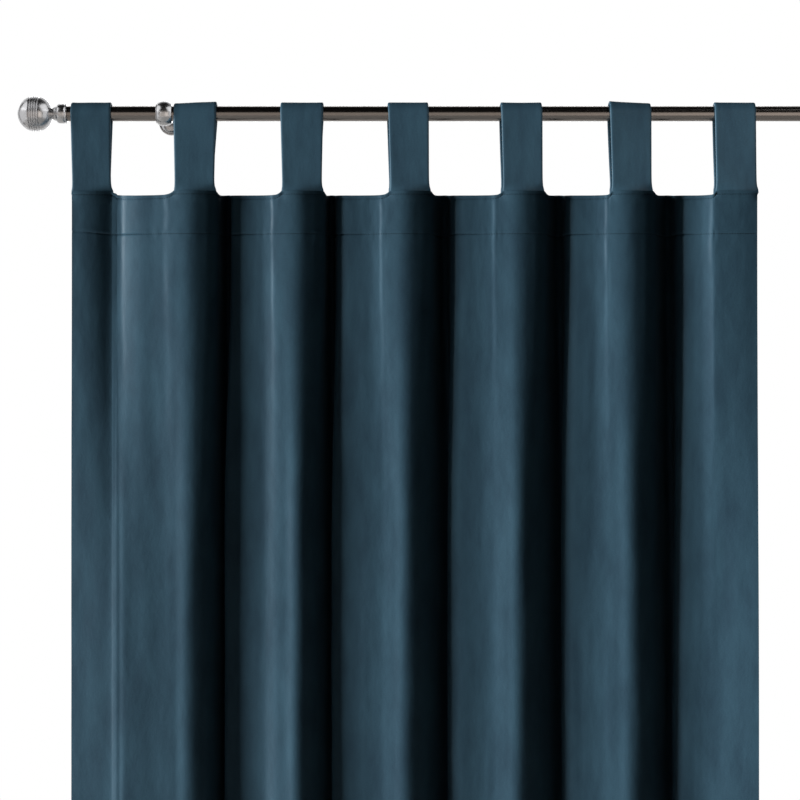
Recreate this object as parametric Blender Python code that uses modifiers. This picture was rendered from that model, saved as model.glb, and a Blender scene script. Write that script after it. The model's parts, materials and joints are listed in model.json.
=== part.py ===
"""Tab top curtain hanging in folds from a ball-ended rod on two wall brackets.

Metres, +Z up. The wall is the plane y = 0 and +Y points into it. The origin is the centre of the
left wall rose's back face, so the rod's axis is at y = -ROD_OUT, z = 0, and runs along +X.
"""
import math
from collections import namedtuple

import bmesh
import bpy
from mathutils import Vector

MM = 0.001
GAP = 0.3 * MM                       # air between pieces that touch on the real curtain

# Rod, finials and brackets
ROD_OUT = 100 * MM                   # wall to the rod's axis
ROD_RADIUS = 11 * MM
ROD_CLEAR = 1250 * MM                # rod seen between the two finial cups
CUP_LIP_X = -141.5 * MM              # the left finial's open end
CUP_RADIUS = 14 * MM
CUP_LENGTH = 14 * MM
CUP_SOCKET = 9 * MM                  # how far the rod enters the finial
NECK_RADIUS = 8.2 * MM
RIGHT_BRACKET_X = 973 * MM
BALL_RADIUS = 25.9 * MM
BALL_TO_LIP = 46.8 * MM              # ball centre to the cup's lip
COLLAR_RADIUS = 18.2 * MM
COLLAR_END_RADIUS = 13.9 * MM
COLLAR_LENGTH = 23 * MM
ARM_RADIUS = 5.5 * MM
ROSE_RADIUS = 19 * MM
ROSE_RIM = 3 * MM
ROSE_HEIGHT = 7 * MM
TURN_STEPS = 24

# Cloth
PANEL_THICK = 2 * MM
FACING_THICK = 1.6 * MM
STRAP_THICK = 4 * MM
TAB_WIDTH = 60 * MM
SEAM_Z = -114 * MM                   # the heading's top edge where a tab is sewn in
TOP_DIP = 6.2 * MM                   # how much lower that edge runs between tabs
TOP_RAMP = 19 * MM                   # length of the rise up to each tab
TUCK = 12 * MM                       # strap ends held between panel and facing
HEADING_Z = -178 * MM                # lower edge of the heading and its facing
HEM_Z = -2590 * MM
HEM_SPREAD = 1.12                    # folds stand a little deeper at the hem
PANEL_HEIGHTS = (HEADING_Z, -0.30, -0.44, -0.60, -0.80, -1.10, -1.55, -2.07, HEM_Z)
LOOP_ARC_STEPS = 12

# One row for each tab: its two edges on the heading, in mm as (x, distance behind the rod's
# axis), the same cloth lower down where the folds hang free, the loop's centre on the rod, and how
# far the cloth under the tab bows forward at both heights.
Tab = namedtuple("Tab", "heading_left heading_right hanging_left hanging_right rod_x "
                        "heading_crown hanging_crown")
TABS = (
    Tab((-136, 7), (-79, 11.5), (-136, 3.5), (-76, -5), -106, 2.5, 0),
    Tab((16, -10.5), (75, -5.5), (20, -15.5), (64, -12), 46, 5.5, 5),
    Tab((173, -8), (232, -1.5), (180, -13.5), (217, -10), 202, 5.5, 5.5),
    Tab((331, -8), (389, -3.5), (337, -11), (380, -7.5), 357, 5.5, 5.5),
    Tab((496, -6.5), (555, -3.5), (501, -11), (545, -6.5), 522, 5.5, 6),
    Tab((655, -8), (714, -5), (664, -11), (710, -7), 681, 5.5, 6),
    Tab((807, -8.5), (866, -12), (811, -9), (867, -23), 834, 1, 0.5),
)

# One row for each fold between two tabs, left to right: points across the fold, in mm as above.
# The valley lies deepest, between its near and far sides. The edge is the fold's left outline, which
# hides the far side. Then come the shoulder, the flatter middle, and the rise to the sharper ridge
# that starts at the next tab.
Fold = namedtuple("Fold", "near valley far edge shoulder middle rise ridge")
HEADING_FOLDS = (
    Fold((-71.5, 11), (-70.5, 11), (-69, 10.8), (-63, 9.4), (-56, 6), (-36, -0.5), (-14.5, -4), (4, -7.5)),
    Fold((86.5, 44.5), (93, 46), (97.5, 40), (100.5, 7.5), (109.5, 3.5), (134, 0.5), (147.5, -1.5), (161, -5)),
    Fold((239.5, 44), (246, 46), (250.5, 40), (255.5, 7), (265, 2.5), (289, 0), (304, -1.5), (320, -5)),
    Fold((407.5, 47), (414, 48), (418, 42), (424.5, 6.5), (435, 2.5), (456, 0), (469, -1.5), (484.5, -4)),
    Fold((576.5, 47), (583, 48), (587.5, 42), (592.5, 8), (601.5, 3.5), (620.5, 0.5), (633, -1.5), (648, -5.5)),
    Fold((738.5, 49), (745, 50), (749.5, 44), (755, 11), (762.5, 5), (779, 0.5), (788.5, -2), (802, -7)),
)
HANGING_FOLDS = (
    Fold((-71.5, -6.5), (-68, -7.5), (-64, -8), (-57.5, -9.5), (-45.5, -10.5), (-28, -11.5), (-8, -12.5), (8, -14)),
    Fold((87.5, 35.5), (94, 35.5), (98, 28), (90, 6), (98.5, 2), (130, -2), (147, -4.5), (163, -9.5)),
    Fold((245.5, 35.5), (252, 35.5), (256, 28), (247, 5), (256, 0.5), (289, -3.5), (304.5, -5), (323, -7.5)),
    Fold((415.5, 37.5), (422, 37.5), (426, 30), (417.5, 5), (429, 0), (454, -3), (469.5, -4.5), (485, -7)),
    Fold((582.5, 37.5), (589, 37.5), (593, 30), (584, 5), (595, 0), (614, -2.5), (629.5, -4), (647, -7)),
    Fold((745.5, 37.5), (752, 37.5), (756, 30), (748, 5.5), (758.5, 0), (777.5, -3), (788.5, -4.5), (799.5, -6.5)),
)
SETTLED = (0.75, 0.62, 0.62, 0.62, 0.62, 0.90)   # drop by which each fold hangs free, in metres

TAB_STEPS = 3                                  # cloth strips across a tab
FOLD_STEPS = (1, 1, 1, 1, 2, 1, 2, 1, 1, 1)   # strips between a fold's control points


def along(a, b, share):
    """The point that lies a share of the way from a to b."""
    return (a[0] + (b[0] - a[0]) * share, a[1] + (b[1] - a[1]) * share)


def fold_points(tab_right, fold, tab_left):
    """Control points from one tab's right edge, across a fold, to the next tab's left edge."""
    return [along(tab_right, fold.near, 0.5), *fold, tab_left]


def tab_points(left, right, crown):
    """Control points across a tab, bowed forward by its crown."""
    inner = []
    for step in range(1, TAB_STEPS):
        share = step / TAB_STEPS
        x, y = along(left, right, share)
        inner.append((x, y - crown * math.sin(math.pi * share)))
    return inner + [right]


def control_line(lefts, rights, folds, crowns):
    """All control points across the cloth, with the number of strips that end at each."""
    points, strips = [lefts[0]], [0]
    for index, (left, right) in enumerate(zip(lefts, rights)):
        points += tab_points(left, right, crowns[index])
        strips += [1] * TAB_STEPS
        if index < len(folds):
            points += fold_points(right, folds[index], lefts[index + 1])
            strips += FOLD_STEPS
    return points, strips


def smooth(p0, p1, p2, p3, t):
    """A Catmull-Rom curve from p1 to p2."""
    return tuple(0.5 * (2 * b + (c - a) * t + (2 * a - 5 * b + 4 * c - d) * t * t
                        + (3 * b - a - 3 * c + d) * t ** 3)
                 for a, b, c, d in zip(p0, p1, p2, p3))


def plan_line(points, strips):
    """The cloth's line seen from above, one (x, y) in metres for each column of the sheet."""
    line = [points[0]]
    last = len(points) - 1
    for end in range(1, len(points)):
        before = points[max(end - 2, 0)]
        after = points[min(end + 1, last)]
        for step in range(1, strips[end] + 1):
            line.append(smooth(before, points[end - 1], points[end], after, step / strips[end]))
    return [(x * MM, y * MM - ROD_OUT) for x, y in line]


def column_list():
    """For each column of the sheet: its tab and share across it, and the fold it hangs with."""
    columns = [(0, 0.0, 0)]
    for tab in range(len(TABS)):
        fold = min(tab, len(SETTLED) - 1)
        columns += [(tab, step / TAB_STEPS, fold) for step in range(1, TAB_STEPS + 1)]
        if tab < len(TABS) - 1:
            gap = sum(FOLD_STEPS)
            columns += [(None, 0.0, tab)] * (gap - 1) + [(tab + 1, 0.0, tab)]
    return columns


HEADING_LINE = plan_line(*control_line([tab.heading_left for tab in TABS],
                                       [tab.heading_right for tab in TABS],
                                       HEADING_FOLDS, [tab.heading_crown for tab in TABS]))
HANGING_LINE = plan_line(*control_line([tab.hanging_left for tab in TABS],
                                       [tab.hanging_right for tab in TABS],
                                       HANGING_FOLDS, [tab.hanging_crown for tab in TABS]))
COLUMNS = column_list()


def ease(share):
    """Goes smoothly from 0 to 1."""
    share = min(max(share, 0.0), 1.0)
    return share * share * (3 - 2 * share)


def line_at(z):
    """The cloth's line at a height: heading, then folds settling, then a deeper hem."""
    spread = 1 + (HEM_SPREAD - 1) * ease((z + 1) / (HEM_Z + 1))
    line = []
    for (_, _, fold), (x0, y0), (x1, y1) in zip(COLUMNS, HEADING_LINE, HANGING_LINE):
        share = ease((z - HEADING_Z) / (-SETTLED[fold] - HEADING_Z))
        y1 = -ROD_OUT + (y1 + ROD_OUT) * spread
        line.append((x0 + (x1 - x0) * share, y0 + (y1 - y0) * share))
    return line


def offset_line(line, distances):
    """The same line moved backwards. Corners are mitred, so the strips stay parallel."""
    normals = []
    for (ax, ay), (bx, by) in zip(line, line[1:]):
        normals.append(Vector((ay - by, bx - ax)).normalized())
    moved = []
    for index, (x, y) in enumerate(line):
        before, after = normals[max(index - 1, 0)], normals[min(index, len(normals) - 1)]
        back = (before + after).normalized()
        reach = distances[index] / back.dot(after)
        moved.append((x + back.x * reach, y + back.y * reach))
    return moved


def tab_distance():
    """For each column, its distance along the heading to the nearest tab."""
    reach = [0.0]
    for (ax, ay), (bx, by) in zip(HEADING_LINE, HEADING_LINE[1:]):
        reach.append(reach[-1] + math.hypot(bx - ax, by - ay))
    sewn = [at for at, (tab, _, _) in zip(reach, COLUMNS) if tab is not None]
    return [min(abs(at - place) for place in sewn) for at in reach]


TO_TAB = tab_distance()


def top_edge(lower=0.0):
    """The height of the heading's top edge at each column."""
    return [SEAM_Z - lower - TOP_DIP * ease(distance / TOP_RAMP) for distance in TO_TAB]


def new_object(name, mesh, collection, material):
    part = bpy.data.objects.new(name, mesh)
    mesh.materials.append(material)
    collection.objects.link(part)
    return part


def sheet(name, rows, thickness, collection, material):
    """A sheet of cloth: a grid whose points are placed row by row, then given its thickness."""
    down, across = len(rows) - 1, len(rows[0]) - 1
    bm = bmesh.new()
    bmesh.ops.create_grid(bm, x_segments=across, y_segments=down, size=1.0)
    for vert in bm.verts:
        column = round((vert.co.x + 1) / 2 * across)
        row = round((1 - vert.co.y) / 2 * down)
        vert.co = rows[row][column]
    mesh = bpy.data.meshes.new(name)
    bm.to_mesh(mesh)
    bm.free()
    mesh.shade_smooth()
    part = new_object(name, mesh, collection, material)
    solid = part.modifiers.new("Thickness", "SOLIDIFY")
    solid.thickness = thickness
    solid.offset = 0.0
    solid.use_even_offset = True
    return part


def make_panel(collection, material):
    """The curtain cloth, from the heading's top edge to the hem, its back on the fold line."""
    front = [-PANEL_THICK / 2] * len(COLUMNS)
    heights = [top_edge(), [SEAM_Z - TUCK] * len(COLUMNS)]
    heights += [[z] * len(COLUMNS) for z in PANEL_HEIGHTS]
    rows = []
    for row in heights:
        line = offset_line(line_at(min(row)), front)
        rows.append([Vector((x, y, z)) for (x, y), z in zip(line, row)])
    return sheet("panel", rows, PANEL_THICK, collection, material)


def make_facing(collection, material):
    """The strip sewn behind the heading. It stands out where it covers a tab's two ends."""
    flat = 2 * GAP + FACING_THICK / 2
    bulge = 2 * (STRAP_THICK + GAP)
    padded = [flat + bulge * (1 - ease((distance - 2 * MM) / (9 * MM))) for distance in TO_TAB]
    plain = [flat] * len(COLUMNS)
    rows = []
    for heights, distances in ((top_edge(1 * MM), padded),
                               ([SEAM_Z - TUCK - 1 * MM] * len(COLUMNS), padded),
                               ([HEADING_Z + 1 * MM] * len(COLUMNS), plain)):
        line = offset_line(line_at(HEADING_Z), distances)
        rows.append([Vector((x, y, z)) for (x, y), z in zip(line, heights)])
    return sheet("heading_facing", rows, FACING_THICK, collection, material)


def make_tab(index, collection, material):
    """One tab: up from the heading in front of the rod, over it, and down behind it."""
    front_line = offset_line(HEADING_LINE, [GAP + STRAP_THICK / 2] * len(COLUMNS))
    back_line = offset_line(HEADING_LINE, [2 * GAP + STRAP_THICK * 1.5] * len(COLUMNS))
    radius = ROD_RADIUS + 1.5 * GAP + STRAP_THICK / 2
    columns = []
    for (tab, share, _), (fx, fy), (bx, by) in zip(COLUMNS, front_line, back_line):
        if tab != index:
            continue
        rod_x = TABS[index].rod_x * MM + (share - 0.5) * TAB_WIDTH
        over = []
        for step in range(LOOP_ARC_STEPS + 1):
            angle = math.pi * step / LOOP_ARC_STEPS
            over.append(Vector((rod_x, -ROD_OUT - radius * math.cos(angle),
                                radius * math.sin(angle))))
        front = [Vector((fx, fy, SEAM_Z - TUCK)), Vector((fx, fy, SEAM_Z + 1 * MM))]
        back = [Vector((bx, by, SEAM_Z + 1 * MM)), Vector((bx, by, SEAM_Z - TUCK))]
        front.append(front[1].lerp(over[0], 0.5))
        back.insert(0, back[0].lerp(over[-1], 0.5))
        columns.append(front + over + back)
    rows = [list(row) for row in zip(*columns)]
    return sheet(f"tab_{index + 1}", rows, STRAP_THICK, collection, material)


def turned(name, profile, collection, material):
    """A piece turned about its own Z axis from a profile of (radius, height) points."""
    bm = bmesh.new()
    verts = [bm.verts.new((radius, 0, height)) for radius, height in profile]
    for a, b in zip(verts, verts[1:]):
        bm.edges.new((a, b))
    if profile[0][0] > 0:
        bm.edges.new((verts[-1], verts[0]))
    mesh = bpy.data.meshes.new(name)
    bm.to_mesh(mesh)
    bm.free()
    part = new_object(name, mesh, collection, material)
    screw = part.modifiers.new("Turn", "SCREW")
    screw.steps = TURN_STEPS
    screw.render_steps = TURN_STEPS
    screw.use_merge_vertices = True
    screw.merge_threshold = 0.00001
    return part


def arc(radius, start, end, steps):
    """Points (radius from the axis, height) along a circle centred on the axis."""
    angles = [math.radians(start + (end - start) * step / steps) for step in range(steps + 1)]
    return [(radius * math.sin(angle), radius * math.cos(angle)) for angle in angles]


def make_finial(name, lip_x, outward, collection, material):
    """Ball, neck and cup in one, with a socket for the rod. Its axis points out of the rod."""
    neck_angle = 180 - math.degrees(math.asin(NECK_RADIUS / BALL_RADIUS))
    profile = [(0.0, BALL_RADIUS)] + arc(BALL_RADIUS, 0, neck_angle, 12)[1:]
    cup_top = -BALL_TO_LIP + CUP_LENGTH
    profile += [(NECK_RADIUS, cup_top + 6 * MM), (NECK_RADIUS + 1.5 * MM, cup_top + 3 * MM),
                (CUP_RADIUS, cup_top), (CUP_RADIUS, -BALL_TO_LIP),
                (ROD_RADIUS + GAP, -BALL_TO_LIP), (ROD_RADIUS + GAP, CUP_SOCKET - BALL_TO_LIP),
                (0.0, CUP_SOCKET - BALL_TO_LIP)]
    part = turned(name, profile, collection, material)
    part.location = (lip_x + outward * BALL_TO_LIP, -ROD_OUT, 0)
    part.rotation_euler = (0, outward * math.pi / 2, 0)
    part.data.shade_smooth()
    return part


def make_collar(name, x, collection, material):
    """The barrel that the rod passes through."""
    half = COLLAR_LENGTH / 2
    bulge = COLLAR_RADIUS - COLLAR_END_RADIUS
    outer = []
    for step in range(7):
        height = half - COLLAR_LENGTH * step / 6
        outer.append((COLLAR_RADIUS - bulge * (height / half) ** 2, height))
    bore = ROD_RADIUS + GAP
    part = turned(name, outer + [(bore, -half), (bore, half)], collection, material)
    part.location = (x, -ROD_OUT, 0)
    part.rotation_euler = (0, math.pi / 2, 0)
    part.data.shade_smooth()
    return part


def make_rose(name, x, collection, material):
    """The round plate on the wall, with a stepped rim and a low dome."""
    profile = [(0.0, ROSE_HEIGHT), (ARM_RADIUS + 3 * MM, ROSE_HEIGHT),
               (ROSE_RADIUS * 0.78, ROSE_RIM + 1.5 * MM), (ROSE_RADIUS * 0.84, ROSE_RIM),
               (ROSE_RADIUS - 1 * MM, ROSE_RIM), (ROSE_RADIUS, ROSE_RIM - 1 * MM),
               (ROSE_RADIUS, 0.0), (0.0, 0.0)]
    part = turned(name, profile, collection, material)
    part.location = (x, 0, 0)
    part.rotation_euler = (math.pi / 2, 0, 0)
    part.data.shade_smooth()
    return part


def cylinder(name, radius, start, end, turn, collection, material):
    """A straight round bar between two points, its sides turned to one of the main axes."""
    length = (Vector(end) - Vector(start)).length
    bm = bmesh.new()
    bmesh.ops.create_cone(bm, cap_ends=True, segments=TURN_STEPS, radius1=radius,
                          radius2=radius, depth=length)
    mesh = bpy.data.meshes.new(name)
    bm.to_mesh(mesh)
    bm.free()
    mesh.shade_smooth()
    part = new_object(name, mesh, collection, material)
    part.location = (Vector(start) + Vector(end)) / 2
    part.rotation_euler = turn
    return part


def make_arm(name, x, collection, cutters, material):
    """The bar from the wall rose to the collar, its end hollowed to fit the collar."""
    part = cylinder(name, ARM_RADIUS, (x, -ROSE_HEIGHT - GAP, 0),
                    (x, COLLAR_END_RADIUS - ROD_OUT, 0), (math.pi / 2, 0, 0), collection, material)
    cutter = cylinder(name + "_cutter", COLLAR_RADIUS + GAP, (x - COLLAR_LENGTH, -ROD_OUT, 0),
                      (x + COLLAR_LENGTH, -ROD_OUT, 0), (0, math.pi / 2, 0), cutters, material)
    cutter.hide_render = True
    cutter.display_type = "WIRE"
    fit = part.modifiers.new("Collar seat", "BOOLEAN")
    fit.object = cutter
    fit.operation = "DIFFERENCE"
    fit.solver = "EXACT"
    return part


def make_material(name, colour, metallic, roughness):
    material = bpy.data.materials.new(name)
    material.use_nodes = True
    shader = material.node_tree.nodes["Principled BSDF"]
    shader.inputs["Base Color"].default_value = (*colour, 1.0)
    shader.inputs["Metallic"].default_value = metallic
    shader.inputs["Roughness"].default_value = roughness
    return material


def main():
    for old in list(bpy.data.objects):
        bpy.data.objects.remove(old, do_unlink=True)
    curtain = bpy.data.collections.new("Tab top curtain")
    cutters = bpy.data.collections.new("Cutters")
    bpy.context.scene.collection.children.link(curtain)
    bpy.context.scene.collection.children.link(cutters)

    velvet = make_material("petrol velvet", (0.026, 0.058, 0.084), 0.0, 0.8)
    rod_steel = make_material("dark satin steel", (0.22, 0.20, 0.19), 1.0, 0.28)
    chrome = make_material("satin chrome", (0.62, 0.62, 0.64), 1.0, 0.25)

    make_panel(curtain, velvet)
    make_facing(curtain, velvet)
    for index in range(len(TABS)):
        make_tab(index, curtain, velvet)

    right_lip = CUP_LIP_X + ROD_CLEAR
    rod_start = (CUP_LIP_X - CUP_SOCKET + GAP, -ROD_OUT, 0)
    rod_end = (right_lip + CUP_SOCKET - GAP, -ROD_OUT, 0)
    cylinder("rod", ROD_RADIUS, rod_start, rod_end, (0, math.pi / 2, 0), curtain, rod_steel)
    for side, lip_x, outward, bracket_x in (("left", CUP_LIP_X, -1, 0.0),
                                            ("right", right_lip, 1, RIGHT_BRACKET_X)):
        make_finial(f"finial_{side}", lip_x, outward, curtain, chrome)
        make_collar(f"bracket_collar_{side}", bracket_x, curtain, chrome)
        make_arm(f"bracket_arm_{side}", bracket_x, curtain, cutters, chrome)
        make_rose(f"wall_rose_{side}", bracket_x, curtain, chrome)


main()
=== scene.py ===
# %% [markdown]
# # A velvet tab top curtain on a steel rod
# The curtain hangs from seven sewn cloth tabs. We start from a fixed frame: plain solids of the
# cloth, the tabs, the rod and its fittings, all in metres, with the wall at y = 0 and the rod's
# axis 100 mm in front of it. Each piece here is made around that frame and takes its place.

# %% Load the frame
import json
import math
from collections import namedtuple

import bpy
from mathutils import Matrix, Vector, noise

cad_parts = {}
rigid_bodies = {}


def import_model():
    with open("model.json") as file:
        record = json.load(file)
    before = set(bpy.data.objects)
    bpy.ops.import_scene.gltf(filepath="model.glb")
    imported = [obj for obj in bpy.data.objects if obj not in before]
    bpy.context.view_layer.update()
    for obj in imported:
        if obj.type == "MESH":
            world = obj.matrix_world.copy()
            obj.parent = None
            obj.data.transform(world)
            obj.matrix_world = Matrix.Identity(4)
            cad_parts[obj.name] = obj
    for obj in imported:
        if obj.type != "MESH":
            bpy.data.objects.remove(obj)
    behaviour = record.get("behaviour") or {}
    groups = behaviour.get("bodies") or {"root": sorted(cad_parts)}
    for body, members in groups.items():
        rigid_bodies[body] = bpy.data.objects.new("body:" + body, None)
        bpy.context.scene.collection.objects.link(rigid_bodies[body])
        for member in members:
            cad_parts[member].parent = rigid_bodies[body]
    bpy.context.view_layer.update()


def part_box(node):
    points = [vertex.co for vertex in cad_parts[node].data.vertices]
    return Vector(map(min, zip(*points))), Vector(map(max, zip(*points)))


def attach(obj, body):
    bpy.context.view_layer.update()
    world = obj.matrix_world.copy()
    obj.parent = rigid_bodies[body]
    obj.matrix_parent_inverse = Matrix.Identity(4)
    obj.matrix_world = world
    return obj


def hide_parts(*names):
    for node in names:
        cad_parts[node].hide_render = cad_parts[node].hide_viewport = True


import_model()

MM = 0.001

# %% [markdown]
# ## The rod's place
# Everything hangs from the rod, so its axis is read from the frame once and used everywhere.

# %% Measure the rod
rod_low, rod_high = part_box("rod")
ROD_Y = (rod_low[1] + rod_high[1]) / 2
ROD_Z = (rod_low[2] + rod_high[2]) / 2
ROD_RADIUS = (rod_high[2] - rod_low[2]) / 2
print("rod axis at y", round(ROD_Y, 4), "z", round(ROD_Z, 4), "radius", round(ROD_RADIUS, 4))

# %% [markdown]
# ## The camera
# The photograph looks level and straight at the curtain from about 3 m. One metre at the rod
# covers 683 of the picture's 800 pixels. The lens follows from those two numbers, and the camera
# stands where the picture's middle falls.

# %% Place the camera
PICTURE = 800                        # pixels across
PIXELS_PER_METRE = 683               # at the rod
CAMERA_DISTANCE = 3.0                # metres from the rod
SENSOR = 36.0                        # mm
ROD_ROW = 113.7                      # pixel row of the rod's axis
BRACKET_COLUMN = 164.2               # pixel column of the left bracket, which is at x = 0

camera_data = bpy.data.cameras.new("camera")
camera_data.sensor_width = SENSOR
camera_data.lens = PIXELS_PER_METRE * CAMERA_DISTANCE * SENSOR / PICTURE
camera = bpy.data.objects.new("camera", camera_data)
bpy.context.scene.collection.objects.link(camera)
camera.location = ((PICTURE / 2 - BRACKET_COLUMN) / PIXELS_PER_METRE, ROD_Y - CAMERA_DISTANCE,
                   ROD_Z - (PICTURE / 2 - ROD_ROW) / PIXELS_PER_METRE)
camera.rotation_euler = (math.radians(90), 0, 0)
bpy.context.scene.camera = camera
print("camera at", [round(v, 3) for v in camera.location], "lens", round(camera_data.lens, 1), "mm")

# %% [markdown]
# ## Colours and nodes
# Colours are written as the sRGB hex values that an eye would pick, and one function turns them to
# the linear values that shaders need. Another adds a node with its settings and links in one line.

# %% Colour and node helpers
def linear(code):
    """The linear colour of an sRGB hex value such as 2d4452."""
    channels = [int(code[place:place + 2], 16) / 255 for place in (0, 2, 4)]
    return (*[c / 12.92 if c <= 0.04045 else ((c + 0.055) / 1.055) ** 2.4 for c in channels], 1.0)


def add_node(tree, kind, settings=None, links=None):
    """Adds a node, sets its inputs or properties by name, and links sockets into its inputs."""
    node = tree.nodes.new(kind)
    for name, value in (settings or {}).items():
        if isinstance(name, int) or name in node.inputs:
            node.inputs[name].default_value = value
        else:
            setattr(node, name, value)
    for name, socket in (links or {}).items():
        tree.links.new(socket, node.inputs[name])
    return node


def new_material(name, settings):
    """A material, its nodes and its shader, whose constant sockets are set by name."""
    material = bpy.data.materials.new(name)
    material.use_nodes = True
    tree = material.node_tree
    shader = tree.nodes["Principled BSDF"]
    for socket, value in settings.items():
        shader.inputs[socket].default_value = value
    return material, tree, shader


print("petrol blue as a linear colour:", [round(c, 3) for c in linear("34505f")])

# %% [markdown]
# ## Velvet
# Cotton velvet is a woven ground with a short cut pile. The pile drinks in light that falls
# straight on it and glows softly where the cloth turns away. Where it has been handled the pile
# leans and the colour shifts a little, in patches a few centimetres wide that are longer than
# broad. Smaller crushed spots, about a centimetre wide, tilt the surface by a degree or so. The
# true grain is too fine to show, so it is drawn about 3 by 1 mm, which roughens the edges of the
# shadows. The pattern runs on a UV map in metres, so it follows the cloth round every fold.

# %% Make the velvet
GRAIN_WIDE = 3.2 * MM                # the pile's grain, across and down the cloth
GRAIN_HIGH = 1.2 * MM
GRAIN_DEPTH = 0.4 * MM
CRUSH = 9 * MM                       # across a crushed spot
CRUSH_DEPTH = 0.22 * MM
BRUISE = 34 * MM                     # across a patch where the pile leans, a third of its length
PILE_RANGE = (0.40, 0.92)            # noise at which the pile is darkest and lightest
CLOTH_MAP = "cloth"                  # the UV map's name


def make_velvet(name, dark, light, sheen):
    """Velvet between two colours, with leaning patches, crushed spots and grain."""
    material, tree, shader = new_material(name, {
        "Roughness": 0.5, "Specular IOR Level": 0.12, "Sheen Weight": sheen,
        "Sheen Roughness": 0.4, "Sheen Tint": linear("c4d4dd")})
    place = add_node(tree, "ShaderNodeUVMap", {"uv_map": CLOTH_MAP})
    long = add_node(tree, "ShaderNodeMapping", {"Scale": (1 / BRUISE, 0.3 / BRUISE, 1)},
                    {"Vector": place.outputs["UV"]})
    bruise = add_node(tree, "ShaderNodeTexNoise", {"Scale": 1.0, "Detail": 4.0, "Roughness": 0.6},
                      {"Vector": long.outputs["Vector"]})
    fine = add_node(tree, "ShaderNodeMapping", {"Scale": (1 / GRAIN_WIDE, 1 / GRAIN_HIGH, 1)},
                    {"Vector": place.outputs["UV"]})
    grain = add_node(tree, "ShaderNodeTexNoise", {"Scale": 1.0, "Detail": 2.0},
                     {"Vector": fine.outputs["Vector"]})
    soft = add_node(tree, "ShaderNodeMapping", {"Scale": (1 / CRUSH, 0.5 / CRUSH, 1)},
                    {"Vector": place.outputs["UV"]})
    crush = add_node(tree, "ShaderNodeTexNoise", {"Scale": 1.0, "Detail": 5.0},
                     {"Vector": soft.outputs["Vector"]})
    both = add_node(tree, "ShaderNodeMath", {"operation": "MULTIPLY_ADD", 1: 0.3},
                    {0: grain.outputs["Fac"], 2: bruise.outputs["Fac"]})
    ramp = add_node(tree, "ShaderNodeValToRGB", None, {"Fac": both.outputs["Value"]})
    for stop, position, colour in zip(ramp.color_ramp.elements, PILE_RANGE, (dark, light)):
        stop.position = position
        stop.color = linear(colour)
    tree.links.new(ramp.outputs["Color"], shader.inputs["Base Color"])
    pressed = add_node(tree, "ShaderNodeBump", {"Strength": 1.0, "Distance": CRUSH_DEPTH},
                       {"Height": crush.outputs["Fac"]})
    bump = add_node(tree, "ShaderNodeBump", {"Strength": 0.35, "Distance": GRAIN_DEPTH},
                    {"Height": grain.outputs["Fac"], "Normal": pressed.outputs["Normal"]})
    tree.links.new(bump.outputs["Normal"], shader.inputs["Normal"])
    return material


velvet = make_velvet("petrol cotton velvet", "273d4b", "34505f", 0.04)
# The thread gets near-black colours, much darker than its own petrol. This is painted shade: it
# stands for the shadow in the stitches' furrow.
shade_darkened_thread = make_velvet("petrol sewing thread", "0d161c", "131f27", 0.0)
print("made", velvet.name, "and", shade_darkened_thread.name)

# %% [markdown]
# ## Metals
# The rod is a steel tube plated in dark satin nickel. It was polished along its length, so fine
# lines follow it. The finials and brackets are turned brass with a satin chrome plate, lighter and
# colder, and their polishing lines run from front to back. On both, the lines are about a third of
# a millimetre apart. They change the gloss a little and barely the height.

# %% Make the metals
POLISH_PITCH = 0.35 * MM             # between two polishing lines
POLISH_LENGTH = 60 * POLISH_PITCH
POLISH_DEPTH = 0.05 * MM
GLOSS_SPREAD = 0.2                   # share by which the roughness goes up and down


def make_metal(name, colour, roughness, long_axis):
    """A plated metal with fine polishing lines that run along one axis."""
    material, tree, shader = new_material(name, {"Metallic": 1.0, "Base Color": linear(colour)})
    place = add_node(tree, "ShaderNodeTexCoord")
    scale = [1 / (POLISH_LENGTH if axis == long_axis else POLISH_PITCH) for axis in "XYZ"]
    drawn = add_node(tree, "ShaderNodeMapping", {"Scale": scale},
                     {"Vector": place.outputs["Object"]})
    lines = add_node(tree, "ShaderNodeTexNoise", {"Scale": 1.0, "Detail": 2.0},
                     {"Vector": drawn.outputs["Vector"]})
    limits = {"To Min": roughness * (1 - GLOSS_SPREAD), "To Max": roughness * (1 + GLOSS_SPREAD)}
    gloss = add_node(tree, "ShaderNodeMapRange", limits, {"Value": lines.outputs["Fac"]})
    tree.links.new(gloss.outputs["Result"], shader.inputs["Roughness"])
    bump = add_node(tree, "ShaderNodeBump", {"Strength": 0.04, "Distance": POLISH_DEPTH},
                    {"Height": lines.outputs["Fac"]})
    tree.links.new(bump.outputs["Normal"], shader.inputs["Normal"])
    return material


rod_metal = make_metal("dark satin nickel on steel", "96908c", 0.22, "X")
fitting_metal = make_metal("satin chrome on turned brass", "d4d4d6", 0.27, "Y")
print("made", rod_metal.name, "and", fitting_metal.name)

# %% [markdown]
# ## The folds
# A curtain is one sheet, so its shape is best described from above: a line that wanders across the
# cloth. The folds could be left to a cloth simulation, but it gives other folds than those in the
# photograph, so they are drawn. Two lines are enough. One is the heading, where the tabs hold the
# cloth near the rod. The other is lower down, where the folds hang free. Each row names the points
# of one tab or one fold, in mm as (place along the rod, distance behind the rod's axis), as the
# frame's solids have them. The crowns say how far the cloth bows forward under a tab.

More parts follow.
